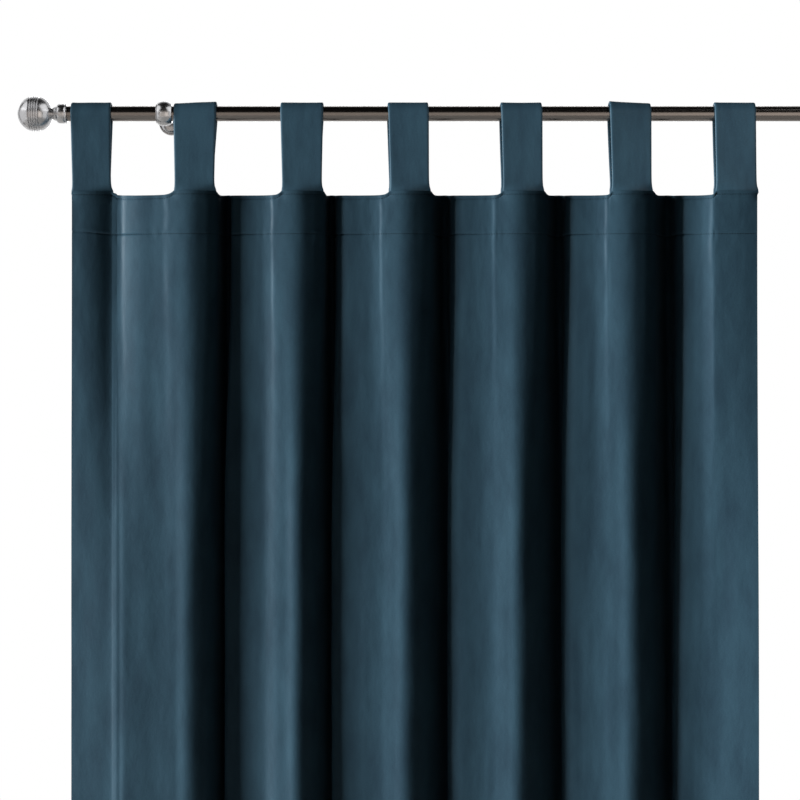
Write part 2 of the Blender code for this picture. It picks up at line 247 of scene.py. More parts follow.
# %% List the tabs and folds
Tab = namedtuple("Tab", "heading_left heading_right hanging_left hanging_right rod_x "
                        "heading_crown hanging_crown")
TABS = (
    Tab((-136, 7), (-79, 11.5), (-136, 3.5), (-76, -5), -106, 2.5, 0),
    Tab((16, -10.5), (75, -5.5), (20, -15.5), (64, -12), 46, 5.5, 5),
    Tab((173, -8), (232, -1.5), (180, -13.5), (217, -10), 202, 5.5, 5.5),
    Tab((331, -8), (389, -3.5), (337, -11), (380, -7.5), 357, 5.5, 5.5),
    Tab((496, -6.5), (555, -3.5), (501, -11), (545, -6.5), 522, 5.5, 6),
    Tab((655, -8), (714, -5), (664, -11), (710, -7), 681, 5.5, 6),
    Tab((807, -8.5), (866, -12), (811, -9), (867, -23), 834, 1, 0.5),
)
Fold = namedtuple("Fold", "near valley far edge shoulder middle rise ridge")
HEADING_FOLDS = (
    Fold((-71.5, 11), (-70.5, 11), (-69, 10.8), (-63, 9.4),
         (-56, 6), (-36, -0.5), (-14.5, -4), (4, -7.5)),
    Fold((86.5, 44.5), (93, 46), (97.5, 40), (100.5, 7.5),
         (109.5, 3.5), (134, 0.5), (147.5, -1.5), (161, -5)),
    Fold((239.5, 44), (246, 46), (250.5, 40), (255.5, 7),
         (265, 2.5), (289, 0), (304, -1.5), (320, -5)),
    Fold((407.5, 47), (414, 48), (418, 42), (424.5, 6.5),
         (435, 2.5), (456, 0), (469, -1.5), (484.5, -4)),
    Fold((576.5, 47), (583, 48), (587.5, 42), (592.5, 8),
         (601.5, 3.5), (620.5, 0.5), (633, -1.5), (648, -5.5)),
    Fold((738.5, 49), (745, 50), (749.5, 44), (755, 11),
         (762.5, 5), (779, 0.5), (788.5, -2), (802, -7)),
)
HANGING_FOLDS = (
    Fold((-71.5, -6.5), (-68, -7.5), (-64, -8), (-57.5, -9.5),
         (-45.5, -10.5), (-28, -11.5), (-8, -12.5), (8, -14)),
    Fold((87.5, 35.5), (94, 35.5), (98, 28), (90, 6),
         (98.5, 2), (130, -2), (147, -4.5), (163, -9.5)),
    Fold((245.5, 35.5), (252, 35.5), (256, 28), (247, 5),
         (256, 0.5), (289, -3.5), (304.5, -5), (323, -7.5)),
    Fold((415.5, 37.5), (422, 37.5), (426, 30), (417.5, 5),
         (429, 0), (454, -3), (469.5, -4.5), (485, -7)),
    Fold((582.5, 37.5), (589, 37.5), (593, 30), (584, 5),
         (595, 0), (614, -2.5), (629.5, -4), (647, -7)),
    Fold((745.5, 37.5), (752, 37.5), (756, 30), (748, 5.5),
         (758.5, 0), (777.5, -3), (788.5, -4.5), (799.5, -6.5)),
)
SETTLED = (0.75, 0.62, 0.62, 0.62, 0.62, 0.90)   # drop by which each fold hangs free, in metres
print(len(TABS), "tabs and", len(HEADING_FOLDS), "folds")

# %% [markdown]
# A smooth curve goes through all the points. It is timed by the square root of the distance
# between points, which keeps it from looping where they lie close together.

# %% Draw the two lines
PIECES_PER_TAB = 3
TAB_COLUMNS = 4                      # columns of cloth to each piece of a tab's curve
TAB_STEPS = PIECES_PER_TAB * TAB_COLUMNS
FOLD_COLUMNS = (4, 4, 3, 3, 6, 5, 6, 5, 8, 6)    # and to each piece of a fold's curve
SHORTEST = 0.01                      # mm, so that no piece of a curve takes no time


def along(a, b, share):
    """The point that lies a share of the way from a to b."""
    return (a[0] + (b[0] - a[0]) * share, a[1] + (b[1] - a[1]) * share)


def tab_points(left, right, crown):
    """Points across one tab, after its left end, bowed forward by its crown."""
    points = []
    for step in range(1, PIECES_PER_TAB):
        x, y = along(left, right, step / PIECES_PER_TAB)
        points.append((x, y - crown * math.sin(math.pi * step / PIECES_PER_TAB)))
    return points + [right]


def fold_points(tab_right, fold, next_left):
    """Points across one fold, from a tab's right end to the next tab's left end."""
    return [along(tab_right, fold.near, 0.5), *fold, next_left]


def curve_point(a, b, c, d, share):
    """A point between b and c on a smooth curve through a, b, c and d."""
    time_b = max(math.dist(a, b), SHORTEST) ** 0.5
    time_c = time_b + max(math.dist(b, c), SHORTEST) ** 0.5
    time_d = time_c + max(math.dist(c, d), SHORTEST) ** 0.5
    time = time_b + (time_c - time_b) * share
    ab = along(a, b, time / time_b)
    bc = along(b, c, share)
    cd = along(c, d, (time - time_c) / (time_d - time_c))
    abc = along(ab, bc, time / time_c)
    bcd = along(bc, cd, (time - time_b) / (time_d - time_b))
    return along(abc, bcd, share)


def full_line(side, folds):
    """All points across the cloth, from its left edge to its right one, in metres."""
    points, counts = [getattr(TABS[0], side + "_left")], []
    for index, tab in enumerate(TABS):
        right = getattr(tab, side + "_right")
        points += tab_points(getattr(tab, side + "_left"), right, getattr(tab, side + "_crown"))
        counts += [TAB_COLUMNS] * PIECES_PER_TAB
        if index < len(folds):
            points += fold_points(right, folds[index], getattr(TABS[index + 1], side + "_left"))
            counts += FOLD_COLUMNS
    points = [along(points[0], points[1], -1)] + points + [along(points[-1], points[-2], -1)]
    line = [points[1]]
    for start, count in enumerate(counts):
        for step in range(1, count + 1):
            line.append(curve_point(*points[start:start + 4], step / count))
    return [(x * MM, y * MM + ROD_Y) for x, y in line]


def lengths_along(line):
    """The length of cloth from the line's start to each of its points."""
    reach = [0.0]
    for a, b in zip(line, line[1:]):
        reach.append(reach[-1] + math.dist(a, b))
    return reach


heading_line = full_line("heading", HEADING_FOLDS)
hanging_line = full_line("hanging", HANGING_FOLDS)
reach = lengths_along(hanging_line)
print(len(heading_line), "columns; heading", round(lengths_along(heading_line)[-1], 3),
      "m of cloth, hanging", round(reach[-1], 3), "m")

# %% [markdown]
# Each column of the cloth remembers the tab that it passes under, and the height at which it has
# settled into its free fold. Between the heading and that height it eases from one line to the
# other.

# %% List the columns of the cloth
Column = namedtuple("Column", "tab share settled")


def list_columns():
    """For each column its tab, if any, its share across that tab, and where it has settled."""
    columns = []
    for tab in range(len(TABS)):
        before, after = SETTLED[max(tab - 1, 0)], SETTLED[min(tab, len(SETTLED) - 1)]
        columns += [Column(tab, step / TAB_STEPS, before + (after - before) * step / TAB_STEPS)
                    for step in range(TAB_STEPS + 1)]
        if tab < len(TABS) - 1:
            columns += [Column(None, 0.0, after)] * (sum(FOLD_COLUMNS) - 1)
    return columns


columns = list_columns()
print("columns listed:", len(columns), "of", len(heading_line))

# %% Shape the line at any height
HEADING_Z = -178 * MM                # lower edge of the heading
HEM_Z = -2590 * MM
HEM_SPREAD = 1.12                    # folds stand a little deeper at the hem
SPREAD_Z = -1.0                      # and start to do so here


def ease(share):
    """A share from 0 to 1 that starts and ends softly."""
    share = min(max(share, 0.0), 1.0)
    return share * share * (3 - 2 * share)


def line_at(z):
    """The cloth's line seen from above, at one height."""
    spread = 1 + (HEM_SPREAD - 1) * ease((z - SPREAD_Z) / (HEM_Z - SPREAD_Z))
    line = []
    for column, (x0, y0), (x1, y1) in zip(columns, heading_line, hanging_line):
        share = ease((z - HEADING_Z) / (-column.settled - HEADING_Z))
        line.append(along((x0, y0), (x1, ROD_Y + (y1 - ROD_Y) * spread), share))
    return line


def back_directions(line):
    """At each point of a line, the direction that points backwards through the cloth."""
    directions = []
    for index in range(len(line)):
        ax, ay = line[max(index - 1, 0)]
        bx, by = line[min(index + 1, len(line) - 1)]
        directions.append(Vector((ay - by, bx - ax)).normalized())
    return directions


print("depth of the folds at the hem:",
      round(max(y for _, y in line_at(HEM_Z)) - min(y for _, y in line_at(HEM_Z)), 3), "m")

# %% [markdown]
# ## Sheets of cloth
# A sheet is a grid of points, row by row from its top. It gets a UV map in metres, so that the
# pile's pattern keeps its true size, and Solidify gives it its thickness.

# %% Functions for sheets
SHARP = math.radians(65)             # an edge that turns more than this stays sharp


def select_only(piece):
    """Deselects everything else, because an operator acts on all that is selected."""
    bpy.ops.object.select_all(action="DESELECT")
    piece.select_set(True)
    bpy.context.view_layer.objects.active = piece


def new_piece(name, points, faces, material, flat):
    """A smooth mesh piece, with its cloth map from one (across, down) pair to each point."""
    mesh = bpy.data.meshes.new(name)
    mesh.from_pydata(points, [], faces)
    mesh.shade_smooth()
    mesh.materials.append(material)
    cloth_map = mesh.uv_layers.new(name=CLOTH_MAP)
    for loop in mesh.loops:
        cloth_map.data[loop.index].uv = flat[loop.vertex_index]
    piece = bpy.data.objects.new(name, mesh)
    bpy.context.scene.collection.objects.link(piece)
    return piece


def triangles(piece):
    """How many triangles a piece's faces come to."""
    return sum(len(face.vertices) - 2 for face in piece.data.polygons)


def make_sheet(name, rows, thickness):
    """A velvet sheet from rows of (points, flat places), thickened evenly to both sides."""
    across = len(rows[0][0])
    faces = [(row * across + col, (row + 1) * across + col,
              (row + 1) * across + col + 1, row * across + col + 1)
             for row in range(len(rows) - 1) for col in range(across - 1)]
    piece = new_piece(name, [point for points, _ in rows for point in points], faces, velvet,
                      [place for _, flat in rows for place in flat])
    solid = piece.modifiers.new("Thickness", "SOLIDIFY")
    solid.thickness = thickness
    solid.offset = 0.0
    solid.use_even_offset = False
    select_only(piece)
    bpy.ops.object.modifier_apply(modifier=solid.name)
    bpy.ops.object.shade_smooth_by_angle(angle=SHARP)
    return piece


def stand_off(line, distances, heights):
    """Points that stand behind a line seen from above, or in front of it where negative."""
    return [Vector((x + back.x * behind, y + back.y * behind, z))
            for (x, y), back, behind, z in zip(line, back_directions(line), distances, heights)]


print("cloth is smooth up to edges of", round(math.degrees(SHARP)), "degrees")

# %% [markdown]
# ## The curtain cloth
# The cloth is cut in one length, turned in at its sides and foot, and sewn to its facing along the
# top. Its top edge is highest where a tab is sewn in and sinks a few millimetres between the tabs.

# %% Draw the top edge and the line of stitches
SEAM_Z = -114 * MM                   # the heading's top edge where a tab is sewn in
TOP_DIP = 6.2 * MM                   # how much lower that edge runs between tabs
TOP_RAMP = 5.5 * MM                  # the distance over which it sinks
TOP_LIFT = 0.1                       # rise of that edge for each metre that the cloth turns back
TUCK = 12 * MM                       # length of a tab's ends inside the heading
TOPSTITCH_Z = HEADING_Z + 1.4 * MM
TOPSTITCH_RISE = 4.5 * MM            # how much higher the stitches start at the cloth's left side
TOPSTITCH_RUN = 75 * MM              # and the length over which they come down
EDGE_STITCH = 5 * MM                 # below the top edge
SIDE_HEM = 22 * MM
FOOT_HEM = 80 * MM


def topstitch_z(index):
    """The height of the stitch line at a column of the cloth."""
    return TOPSTITCH_Z + TOPSTITCH_RISE * (1 - ease(reach[index] / TOPSTITCH_RUN))


sewn = [reach[index] for index, column in enumerate(columns) if column.tab is not None]
to_tab = [min(abs(here - there) for there in sewn) for here in reach]
top_edge = [SEAM_Z - TOP_DIP * (1 - math.exp(-distance / TOP_RAMP)) + TOP_LIFT * max(y - ROD_Y, 0)
            for distance, (_, y) in zip(to_tab, heading_line)]
print("top edge from", round(max(top_edge), 4), "to", round(min(top_edge), 4))

# %% [markdown]
# A real sheet is never quite smooth. It has a rolled edge and a line of stitches along the top, a
# furrow with small puckers where the facing is stitched through, and a soft swelling over the
# tabs' ends. None is more than a few millimetres, so they are added to the smooth line as relief:
# each is a hump or a hollow of its own height and width.

# %% Describe the heading's relief
EDGE_ROLL, EDGE_SUNK = 0.55 * MM, 0.45 * MM           # the rolled edge, and its stitches' furrow
ROLL_PRESSED, SUNK_PRESSED = 0.35 * MM, 0.25 * MM     # how much of each is lost at a tab
PUCKERS, EDGE_PUCKERS = 0.35 * MM, 0.30 * MM
PUCKER_HIGH = 30 * MM
SWELLING = 0.7 * MM                  # over a tab's ends
SWELLING_SIDE = 0.12                 # share of a tab's width over which it rises
LIP = 0.3 * MM                       # cloth pushed up just above the furrow
FURROW_LEAST, FURROW_MORE = 0.2 * MM, 1.0 * MM
RIDGE_BACK = FOLD_COLUMNS[-1]        # columns from a ridge to the tab at its right

ridge_columns = [index - RIDGE_BACK for index, column in enumerate(columns)
                 if column.tab and column.share == 0]
ridges = [reach[ridge] for ridge in ridge_columns]


def hump(distance, width):
    """A smooth hump, 1 high at no distance and a third as high at its width."""
    return math.exp(-(distance / width) ** 2)


def wander(across, down, width, height, seed):
    """A smooth random value, about -1 to 1, that changes over a width and a height."""
    return noise.noise(Vector((across / width + seed * 7.3, down / height - seed * 3.1, seed)))


def furrow_depth(here):
    """The stitches' furrow is deep from each valley to the middle of its fold, and fades after."""
    passed = max((ridge for ridge in ridges if ridge <= here), default=-1.0)
    ahead = min((ridge for ridge in ridges if ridge > here), default=9.0)
    deep = ease((here - passed - 70 * MM) / (10 * MM)) * ease((ahead - 10 * MM - here) / (25 * MM))
    return FURROW_LEAST + FURROW_MORE * deep


def edge_relief(here, z, drop, share):
    """The rolled top edge, its stitches and puckers, and the swelling over a tab's ends."""
    at_tab = ease(min(share, 1 - share) / SWELLING_SIDE)
    rise = (EDGE_ROLL - ROLL_PRESSED * at_tab) * hump(drop - 1 * MM, 1.5 * MM)
    rise -= (EDGE_SUNK - SUNK_PRESSED * at_tab) * hump(drop - EDGE_STITCH, 1.4 * MM)
    rise += (EDGE_PUCKERS * hump(drop - EDGE_STITCH, 8 * MM)
             * wander(here, z, 8 * MM, PUCKER_HIGH, 2))
    return rise + SWELLING * at_tab * (1 - ease((drop - TUCK) / (4 * MM)))


def furrow_relief(index, z):
    """The furrow where the facing is stitched through, its lip and its puckers."""
    above = z - topstitch_z(index)
    rise = LIP * hump(above - 3.5 * MM, 2.5 * MM) - furrow_depths[index] * hump(above, 1.3 * MM)
    return rise + PUCKERS * hump(above, 9 * MM) * wander(reach[index], z, 7 * MM, PUCKER_HIGH, 1)


furrow_depths = [furrow_depth(here) for here in reach]
print("ridges at", [round(ridge, 3) for ridge in ridges], "m along the cloth")

# %% [markdown]
# A narrow crest runs down from each tab's left side, sways a little, and fades and widens as the
# folds hang free. The hems show as shallow lines. Long slow waves lie over the free cloth, and
# crumples from handling over all of it.

# %% Describe the relief of the hanging cloth
CREST_WIDTHS = (9, 5, 4.5, 5, 6, 6)  # mm across each ridge's left side
CREST_LEAD = 5 * MM                  # how far before its ridge a crest starts
CREST_BEFORE = 6                     # columns before its ridge that may belong to it
CREST_HIGH = 1.0 * MM
CREST_FADE = 22 * MM                 # width of its long right side
CREST_SWAY = 2.2 * MM
CREST_WIDENS = 6 * MM
LOWERS_FROM, LOWERS_OVER = -0.14, 0.40                # heights over which a crest fades, in m
NO_CREST = (9.0, 1.0)                # left of the first ridge: it starts beyond the cloth
Wave = namedtuple("Wave", "high width height seed")
SLOW_WAVES = (Wave(1.3 * MM, 60 * MM, 420 * MM, 3), Wave(0.35 * MM, 22 * MM, 90 * MM, 4))
CRUMPLES = Wave(0.10 * MM, 9 * MM, 20 * MM, 5)
FREE_OVER = 250 * MM                 # below the heading the waves grow over this height
SIDE_HEM_DEPTH, FOOT_HEM_DEPTH = 0.35 * MM, 0.5 * MM


def crest_at(index):
    """Where the last crest to the left starts along the cloth, and how wide its left side is."""
    return max(((reach[ridge] - CREST_LEAD, width * MM)
                for ridge, width in zip(ridge_columns, CREST_WIDTHS)
                if ridge - CREST_BEFORE <= index), default=NO_CREST)


def crest_relief(index, z):
    """The crest's height at a column, 0 to the left of it."""
    start, width = crests[index]
    into = reach[index] - start + CREST_SWAY * wander(start, z, 1, 0.05, 7)
    if into <= 0:
        return 0.0
    lower = ease((LOWERS_FROM - z) / LOWERS_OVER)
    high = CREST_HIGH * (1 - 0.75 * lower) * (1 + 0.7 * wander(start, z, 1, 0.018, 8))
    return high * ease(into / (width + CREST_WIDENS * lower)) * hump(into, CREST_FADE)


def wave_relief(here, z, wave):
    """The height of one kind of wave."""
    return wave.high * wander(here, z, wave.width, wave.height, wave.seed)


def hem_relief(here, z):
    """The lines where the side hems and the foot's hem end."""
    sides = sum(hump(side - SIDE_HEM, 1.5 * MM) for side in (here, reach[-1] - here))
    below_heading = ease((HEADING_Z - z) / (20 * MM))
    return -(SIDE_HEM_DEPTH * sides * below_heading
             + FOOT_HEM_DEPTH * hump(z - HEM_Z - FOOT_HEM, 2.5 * MM))


def relief(index, z):
    """How far the cloth stands forward of its smooth line, in metres."""
    here = reach[index]
    free = ease((HEADING_Z - z) / FREE_OVER)
    return (edge_relief(here, z, top_edge[index] - z, columns[index].share)
            + furrow_relief(index, z) + crest_relief(index, z) + hem_relief(here, z)
            + free * sum(wave_relief(here, z, wave) for wave in SLOW_WAVES)
            + wave_relief(here, z, CRUMPLES))


crests = [crest_at(index) for index in range(len(columns))]
print("relief half way down a ridge:", round(relief(ridge_columns[2], -0.5) / MM, 2), "mm")

# %% [markdown]
# The rows lie close together on the heading, where the detail is, and further apart down the
# cloth.

# %% Make the curtain cloth
CLOTH_THICK = 2 * MM
HEADING_SHARES = (0, 0.007, 0.016, 0.03, 0.045, 0.06, 0.075, 0.09, 0.105, 0.125, 0.15, 0.19, 0.24,
                  0.3, 0.37, 0.45, 0.53, 0.61, 0.69, 0.76, 0.82, 0.87, 0.90, 0.925, 0.945, 0.96,
                  0.972, 0.982, 0.991, 1)
FIRST_PITCH = 0.9 * MM               # between the first rows below the heading
PITCH_GROWTH = 1.22
SEEN_PITCH, UNSEEN_PITCH = 18 * MM, 48 * MM           # the most, above and below SEEN_Z
SEEN_Z = -1.12                       # the photograph stops a little above this


def list_heights():
    """The rows' heights below the heading, down to the hem."""
    heights, pitch = [], FIRST_PITCH
    z = HEADING_Z
    while z - pitch > HEM_Z + 3 * MM:
        z -= pitch
        heights.append(z)
        pitch = min(pitch * PITCH_GROWTH, SEEN_PITCH if z > SEEN_Z else UNSEEN_PITCH)
    return heights + [HEM_Z + 2.5 * MM, HEM_Z]


def cloth_row(height_of, forward=CLOTH_THICK / 2):
    """A row of points that stand forward of the line by that much and the cloth's relief."""
    heights = [height_of(index) for index in range(len(columns))]
    distances = [-forward - relief(index, z) for index, z in enumerate(heights)]
    points = stand_off(line_at(heights[len(columns) // 2]), distances, heights)
    return points, list(zip(reach, heights))


def heading_height(share):
    """The height at each column, at a share of the way down the heading."""
    return lambda index: top_edge[index] + (HEADING_Z - top_edge[index]) * share


rows = [cloth_row(heading_height(share)) for share in HEADING_SHARES]
rows += [cloth_row(lambda index, z=z: z) for z in list_heights()]
curtain = make_sheet("curtain_cloth", rows, CLOTH_THICK)
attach(curtain, "root")
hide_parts("panel")
print("curtain cloth:", len(rows), "rows,", triangles(curtain), "triangles")

# %% [markdown]
# ## The facing
# A strip of the same velvet is sewn behind the heading and covers the tabs' ends. It is best seen
# from the back. It is a second sheet on the columns of the first, so that it follows every fold.
# Where it passes over a tab it stands out by the thickness of two straps.

# %% Make the facing
FACING_THICK = 1.6 * MM
FACING_INSET = 1 * MM                # from the cloth's top edge and the heading's lower edge
FACING_ROWS = 18
FACING_MAP = 3                       # metres down the cloth map, so that its patches differ
FACING_SLACK = 0.3 * MM
PAD_OUT, PAD_RAMP = 2 * MM, 9 * MM   # how far past a tab it stays proud, and sinks again
STRAP_SEWN = 4 * MM                  # a strap pressed flat in the seam
GAP = 0.3 * MM


def facing_row(share):
    """A row of points on the facing's middle, at a share of its height."""
    strap_end = SEAM_Z - TUCK - 1 * MM
    foot = HEADING_Z + FACING_INSET
    heights, distances, flat = [], [], []
    for index, here in enumerate(reach):
        top = top_edge[index] - FACING_INSET
        z = top + (foot - top) * share
        padded = 1 - ease((to_tab[index] - PAD_OUT) / PAD_RAMP)
        padded *= 1 - ease((strap_end - z) / (strap_end - foot))
        uneven = 1 + wander(here, z, 12 * MM, 30 * MM, 6)
        slack = FACING_SLACK * uneven * math.sin(math.pi * share)
        heights.append(z)
        distances.append(GAP + FACING_THICK / 2 + 2 * (STRAP_SEWN + GAP) * padded + slack)
        flat.append((here, z + FACING_MAP))
    return stand_off(heading_line, distances, heights), flat


rows = [facing_row(row / FACING_ROWS) for row in range(FACING_ROWS + 1)]
facing = make_sheet("facing", rows, FACING_THICK)
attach(facing, "root")
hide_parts("heading_facing")
print("facing:", triangles(facing), "triangles")

# %% [markdown]
# ## The tabs
# Each tab is a strip of velvet sewn into a tube, turned right side out and pressed. It is folded
# over the rod, with both its ends in the heading's seam. So its section is a flat, soft rectangle
# with round edges, and it is a little thicker where the seam allowance lies inside. The section is
# carried along a path: straight up from the seam, round the rod, and straight down behind. No two
# tabs hang quite alike, and each has its own row: its width, how much further its left and right
# sides stand off the rod, and how far its front and back straps are pushed sideways. At the seam a
# strap spreads a little, so that it meets the heading's edge in a smooth hollow.

# %% List how each tab hangs
Hang = namedtuple("Hang", "width left_lift right_lift front_top back_top back_foot")
HANGS = (                            # all in mm
    Hang(58.5, 0.2, 0.4, 0.0, 0.0, -1.0),
    Hang(62.5, -0.9, 1.6, 0.0, 0.0, -0.5),
    Hang(62.5, 0.3, 0.4, 0.0, 0.0, -0.5),
    Hang(59.0, 0.2, 0.5, 0.8, -1.5, -2.5),
    Hang(60.0, 0.3, 0.2, 0.9, -1.0, -3.5),
    Hang(60.5, 2.4, -1.1, 0.6, -0.6, -3.5),
    Hang(60.0, 0.5, 0.2, 0.0, 0.6, -3.0),
)
print("straps from", min(hang.width for hang in HANGS), "to",
      max(hang.width for hang in HANGS), "mm wide at the rod")

# %% Describe a strap's section and its foot
STRAP_THICK = 4.6 * MM
TAB_WIDTH = 60 * MM
SIDE_ROUND = 0.05                    # share of the width over which a side is rounded
ALLOWANCE = 0.07                     # share by which a strap is thicker over its seam allowance
FLARE_LEFT = 2.0 * MM                # how far a strap spreads sideways where it meets the heading
FLARE_RIGHT = 4.2 * MM
FLARE_CURL = 3.5 * MM                # how far its right side curls back there
FLARE_HIGH = 5 * MM
ACROSS = (0.0, 0.006, 0.02, 0.045, 0.09, 0.16, 0.26, 0.38, 0.5, 0.62, 0.74, 0.84, 0.91, 0.955,
          0.98, 0.994, 1.0)          # places across a strap


def strap_depth(share):
    """Half the strap's thickness at a place across it, as a share of the most."""
    side = 2 * min(share, 1 - share)
    rounded = (1 - (1 - min(side / SIDE_ROUND, 1.0)) ** 2) ** 0.5
    return rounded * (1 - ALLOWANCE + ALLOWANCE * hump(side - 0.12, 0.08))


def sewn_point(index, share, behind):
    """The point of the heading's line at a share across a tab, moved backwards."""
    first = next(i for i, column in enumerate(columns) if column.tab == index)
    line = heading_line[first:first + TAB_STEPS + 1]
    place = min(int(share * TAB_STEPS), TAB_STEPS - 1)
    past = share * TAB_STEPS - place
    directions = back_directions(line)
    x, y = along(line[place], line[place + 1], past)
    back = directions[place].lerp(directions[place + 1], past)
    return Vector((x + back.x * behind, y + back.y * behind))


def flare(share, z):
    """How far a strap's side spreads out, and curls back, close above the seam."""
    side = 2 * share - 1
    above = math.exp(-max(z - SEAM_Z, 0) / FLARE_HIGH)
    reached = above * (1 - ease((SEAM_Z - 1 * MM - z) / (4 * MM)))
    out = (FLARE_RIGHT if side > 0 else -FLARE_LEFT) * abs(side) ** 3 * reached
    return out, FLARE_CURL * max(side, 0) ** 3 * reached


print("a strap is", STRAP_THICK / MM, "mm thick, with", len(ACROSS), "places across it")

# %% Describe a strap's path
ROD_AIR = 0.45 * MM                  # between the rod and the loop
LEAST_LIFT = -1 * MM                 # a side comes no closer to the rod than this
FLATTENS = 10 * MM                   # above the seam a strap has lost the heading's curve
STRAIGHT_ROWS = 26
ARC_ROWS = 26


def straight_point(share, z, x, sewn_y, level, rod_y, free):
    """A point of a straight part, free of the seam by a share of the way to the rod."""
    out, curl = flare(share, z)
    flat_y = sewn_y + (level - sewn_y) * ease((z - SEAM_Z) / FLATTENS)
    return Vector((x + out, flat_y + (rod_y - flat_y) * free + curl, z))


def strap_path(index, share):
    """Points and outward directions down one lengthwise line of a tab, front to back."""
    hang = HANGS[index]
    lift = (hang.left_lift + (hang.right_lift - hang.left_lift) * share) * MM
    radius = ROD_RADIUS + ROD_AIR + STRAP_THICK / 2 + max(lift, LEAST_LIFT)
    rod_x = TABS[index].rod_x * MM + (share - 0.5) * hang.width * MM
    front_off, back_off = GAP + STRAP_SEWN / 2, 2 * GAP + STRAP_SEWN * 1.5
    front, back = sewn_point(index, share, front_off), sewn_point(index, share, back_off)
    back.x += hang.back_foot * MM * 0.5
    front_level = sum(sewn_point(index, place / 4, front_off).y for place in range(5)) / 5
    back_level = front_level + GAP + STRAP_SEWN
    foot, height = SEAM_Z - TUCK, ROD_Z - SEAM_Z
    lean_front = math.asin((front_level - (ROD_Y - radius)) / height)
    lean_back = math.asin(((ROD_Y + radius) - back_level) / height)
    way = Vector((0, -math.cos(lean_front), -math.sin(lean_front)))
    front_top = ROD_Z - radius * math.sin(lean_front)
    path = []
    for step in range(STRAIGHT_ROWS):
        z = foot + (front_top - foot) * step / STRAIGHT_ROWS
        free = min(max((z - SEAM_Z) / height, 0.0), 1.0)
        x = front.x + (rod_x + hang.front_top * MM - front.x) * free
        path.append((straight_point(share, z, x, front.y, front_level,
                                    ROD_Y - radius * math.cos(lean_front), free), way))
    sweep = math.pi + lean_front + lean_back
    for step in range(ARC_ROWS + 1):
        angle = -lean_front + sweep * step / ARC_ROWS
        way = Vector((0, -math.cos(angle), math.sin(angle)))
        shift = hang.front_top + (hang.back_top - hang.front_top) * step / ARC_ROWS
        path.append((Vector((rod_x + shift * MM, ROD_Y, ROD_Z)) + way * radius, way))
    way = Vector((0, math.cos(lean_back), -math.sin(lean_back)))
    back_top = ROD_Z - radius * math.sin(lean_back)
    for step in range(1, STRAIGHT_ROWS + 1):
        z = back_top + (foot - back_top) * step / STRAIGHT_ROWS
        free = min(max((z - SEAM_Z) / (back_top - SEAM_Z), 0.0), 1.0)
        side = hang.back_foot + (hang.back_top - hang.back_foot) * free
        x = back.x + (rod_x - back.x) * free + side * MM * 0.5 * (1 + free)
        path.append((straight_point(share, z, x, back.y, back_level,
                                    ROD_Y + radius * math.cos(lean_back), free), way))
    return path


print("a strap's path has", len(strap_path(0, 0.5)), "points")

# %% [markdown]
# Points are placed outside and inside the path by the section's half thickness, and joined into
# one closed skin with a cap at each end.

# %% Make the tabs
PRESSED = 0.4 * MM                   # how much flatter than its room a strap's sewn end is
SEAM_BLEND = 8 * MM                  # above the seam a strap has its full thickness
PUFF = 0.35 * MM                     # unevenness of its faces


def tube_faces(rings, around, first=0):
    """The faces of a tube, ring by ring, with a cap at each end."""
    faces = []
    last = first + (rings - 1) * around
    for low in range(first, last, around):
        for number in range(around):
            after = (number + 1) % around
            faces.append((low + number, low + after, low + around + after, low + around + number))
    caps = [tuple(reversed(range(first, first + around))), tuple(range(last, last + around))]
    return faces + caps


def face_outwards(piece):
    """Turns all faces of a closed piece outwards."""
    select_only(piece)
    bpy.ops.object.mode_set(mode="EDIT")
    bpy.ops.mesh.select_all(action="SELECT")
    bpy.ops.mesh.normals_make_consistent(inside=False)
    bpy.ops.object.mode_set(mode="OBJECT")


def make_tab(index):
    """One tab, as a closed skin round its path."""
    paths = [strap_path(index, share) for share in ACROSS]
    reached, points, flat = 0.0, [], []
    outer = list(range(len(ACROSS)))
    for row, (at, _) in enumerate(paths[0]):
        reached += (at - paths[0][max(row - 1, 0)][0]).length
        sewn_in = max(1 - (at.z - (SEAM_Z - TUCK)) / (TUCK + SEAM_BLEND), 0.0)
        flatter = (STRAP_THICK - STRAP_SEWN + PRESSED) * min(sewn_in * 2, 1.0)
        for number, col in enumerate(outer + outer[-2:0:-1]):
            point, way = paths[col][row]
            sign = 1 if number < len(ACROSS) else -1
            across = ACROSS[col] * TAB_WIDTH
            puff = PUFF * wander(across + index, reached, 0.03, 0.05, 7) * (1 - min(sewn_in, 1))
            half = (STRAP_THICK - flatter) / 2 * strap_depth(ACROSS[col])
            points.append(point + way * (sign * half + (puff if half else 0.0)))
            flat.append((across + (0 if sign > 0 else TAB_WIDTH), reached + index))
    faces = tube_faces(len(paths[0]), 2 * len(ACROSS) - 2)
    tab = new_piece(f"tab_strap_{index + 1}", points, faces, velvet, flat)
    face_outwards(tab)
    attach(tab, "root")
    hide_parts(f"tab_{index + 1}")
    return tab


tabs = [make_tab(index) for index in range(len(TABS))]
print("tabs:", len(tabs), "with", triangles(tabs[0]), "triangles each")

# %% [markdown]
# ## Stitches
# The facing is stitched through along its lower edge, and the top edge is stitched down. Each
# stitch is about 3 mm of thread that dives into the cloth at both ends. One is a small six-sided
# spindle. An array along a curve would repeat it too, but here each is placed from the cloth's own
# row of points, so that it lies on the relief.

# %% Sew the stitches
STITCH = 3.1 * MM
STITCH_GAP = 0.7 * MM
FIRST_STITCH = 1 * MM                # from the cloth's side
THREAD_RADIUS = 0.32 * MM
THREAD_SIDES = 6
THREAD_PROUD = 0.1 * MM              # the thread's middle stands off the cloth by this
THREAD_SIDE = 0.3 * MM               # the width of one of its sides on the cloth map
DIVE = 0.25 * MM                     # how far a stitch's ends sink in
